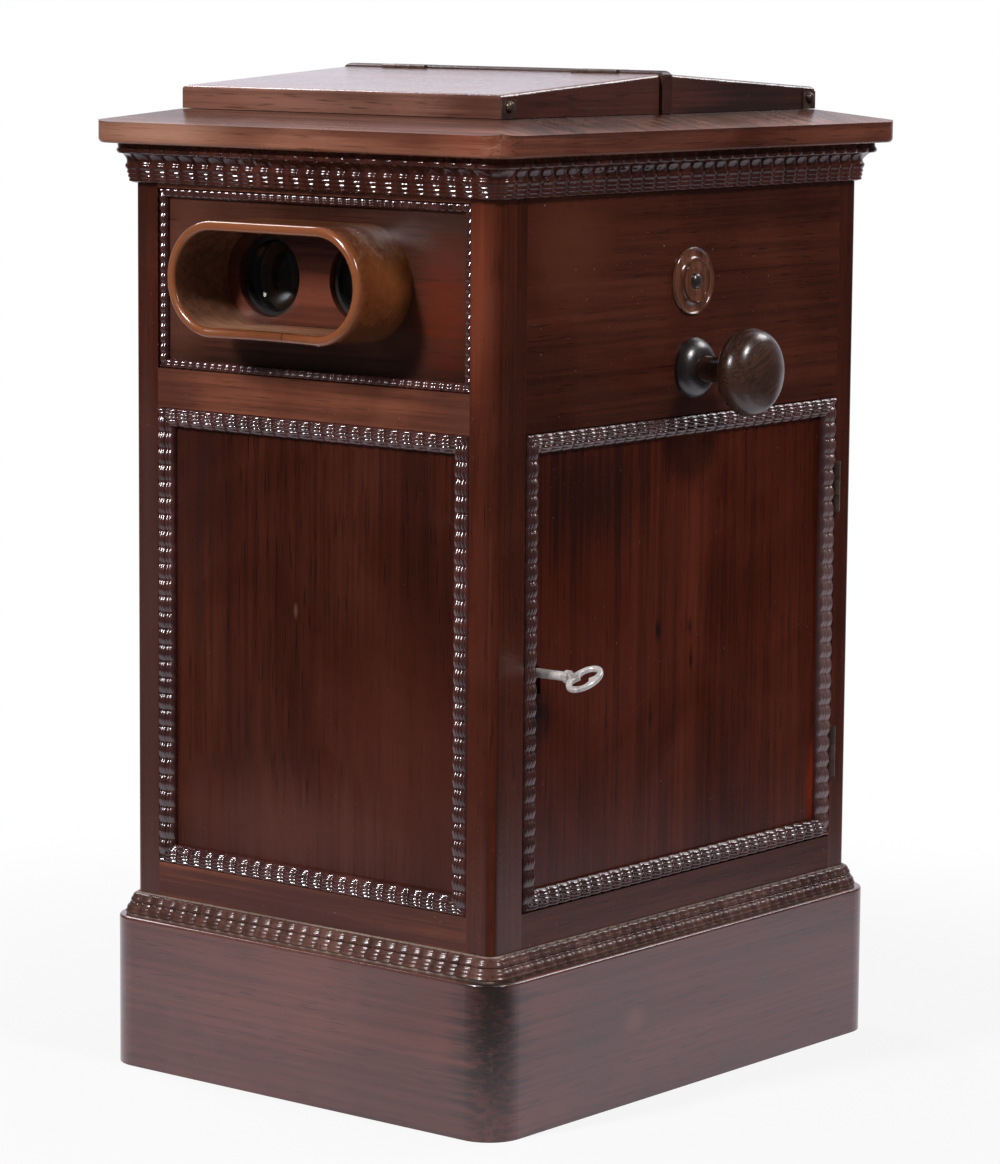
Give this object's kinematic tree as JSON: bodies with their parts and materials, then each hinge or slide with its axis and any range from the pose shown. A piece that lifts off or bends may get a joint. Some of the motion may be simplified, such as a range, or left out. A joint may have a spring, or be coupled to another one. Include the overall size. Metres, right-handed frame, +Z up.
{
  "type": "cabinet stereoscope",
  "caption": "Tabletop mahogany cabinet stereoscope: hooded binocular eyepiece, hinged light flaps, winding knob for an endless belt of view cards, focus dial and a locked side door.",
  "frame": {"origin": "centre of the plinth's footprint, on the surface that it stands on", "axes": "+Z up; -Y is the eyepiece's side; +X is the side with the winding knob, the dial and the door"},
  "size_m": [0.337, 0.3928, 0.572],
  "materials": {
    "mahogany": "deep red-brown polished mahogany, satin to gloss",
    "plinth_wood": "purplish-brown mahogany, a little duller than the rest",
    "ripple_wood": "dark ripple moulding, glossy",
    "hood_wood": "golden-brown wood, glossy, orange at the rim",
    "turned_wood": "red-brown turned wood, glossy",
    "dark_turned_wood": "near-black turned wood, high gloss",
    "inner_wood": "plain softwood, unfinished",
    "black_board": "thin board painted flat black",
    "hinge_brass": "aged brass",
    "lock_iron": "dark iron",
    "key_steel": "bright worn steel",
    "shaft_steel": "plain steel bar",
    "tin": "folded tin, blackened",
    "belt_cloth": "woven tape",
    "card_stock": "plain cream pasteboard",
    "mirror_glass": "silvered glass",
    "lens_glass": "clear ground glass"
  },
  "bodies": {
    "cabinet": {"plinth_sides": "plinth_wood", "plinth_ends": "plinth_wood", "base_board": "inner_wood", "bottom_board": "inner_wood", "plinth_blocks": "inner_wood", "base_moulding": "ripple_wood", "post_front_right": "mahogany", "post_front_left": "mahogany", "post_back_right": "mahogany", "post_back_left": "mahogany", "post_hinge_leaves": "hinge_brass", "front_rails": "mahogany", "back_rails": "mahogany", "front_lower_panel": "mahogany", "back_lower_panel": "mahogany", "back_upper_panel": "mahogany", "eyepiece_panel": "mahogany", "front_panel_moulding": "ripple_wood", "eyepiece_beading": "ripple_wood", "side_rails": "mahogany", "right_upper_panel": "mahogany", "left_upper_panel": "mahogany", "left_lower_panel": "mahogany", "left_panel_moulding": "ripple_wood", "cornice": "ripple_wood", "top_board": "mahogany", "ridge_board": "mahogany", "ridge_hinge_leaves": "hinge_brass", "eyepiece_hood": "hood_wood", "focus_bracket": "hinge_brass", "shaft_bushes": "hinge_brass", "knob_rose": "dark_turned_wood", "card_belt": "belt_cloth", "card_holders": "tin", "view_cards": "card_stock", "septum": "black_board", "lock_keeper": "hinge_brass"},
    "front_flap": {"front_flap_frame": "mahogany", "front_flap_panel": "mahogany", "front_flap_mirror": "mirror_glass", "front_flap_fittings": "hinge_brass"},
    "rear_flap": {"rear_flap_frame": "mahogany", "rear_flap_panel": "mahogany", "rear_flap_mirror": "mirror_glass", "rear_flap_fittings": "hinge_brass"},
    "winder": {"winder_shaft": "shaft_steel", "winder_roller": "inner_wood", "winder_knob": "dark_turned_wood"},
    "focus": {"focus_dial": "turned_wood", "focus_pinion": "hinge_brass"},
    "lens_carriage": {"lens_board": "black_board", "focus_rack": "hinge_brass", "lens_cells": "hinge_brass", "lenses": "lens_glass"},
    "door": {"door_panel": "mahogany", "door_moulding": "ripple_wood", "door_hinge_leaves": "hinge_brass", "lock_case": "lock_iron"},
    "bolt": {"lock_bolt": "lock_iron"},
    "key": {"key": "key_steel"}
  },
  "joints": [
    {"name": "front_flap_hinge", "type": "hinge", "parent": "cabinet", "child": "front_flap", "pos_m": [0, -0.0049, 0.5702], "axis": [-1, 0, 0], "range_deg": [0, 90]},
    {"name": "rear_flap_hinge", "type": "hinge", "parent": "cabinet", "child": "rear_flap", "pos_m": [0, 0.0049, 0.5702], "axis": [1, 0, 0], "range_deg": [0, 90]},
    {"name": "winder_turn", "type": "hinge", "parent": "cabinet", "child": "winder", "pos_m": [0, 0.007, 0.4072], "axis": [1, 0, 0], "continuous": true},
    {"name": "focus_turn", "type": "hinge", "parent": "cabinet", "child": "focus", "pos_m": [0, 0.0055, 0.456], "axis": [1, 0, 0], "range_deg": [-42.9, 42.9]},
    {"name": "lens_focus", "type": "slide", "parent": "cabinet", "child": "lens_carriage", "axis": [0, -1, 0], "range_m": [-0.00598, 0.00598]},
    {"name": "door_hinge", "type": "hinge", "parent": "cabinet", "child": "door", "pos_m": [0.133, 0.1486, 0], "axis": [0, 0, 1], "range_deg": [0, 115]},
    {"name": "key_turn", "type": "hinge", "parent": "door", "child": "key", "pos_m": [0.132, -0.1259, 0.25], "axis": [1, 0, 0], "range_deg": [-114, 66]},
    {"name": "bolt_throw", "type": "slide", "parent": "door", "child": "bolt", "axis": [0, -1, 0], "range_m": [-0.01013, 0.00587]}
  ],
  "couplings": [
    {"joint": "focus_turn", "follows": "lens_focus", "rad_per_m": 125},
    {"joint": "bolt_throw", "follows": "key_turn", "m_per_rad": 0.005093}
  ]
}
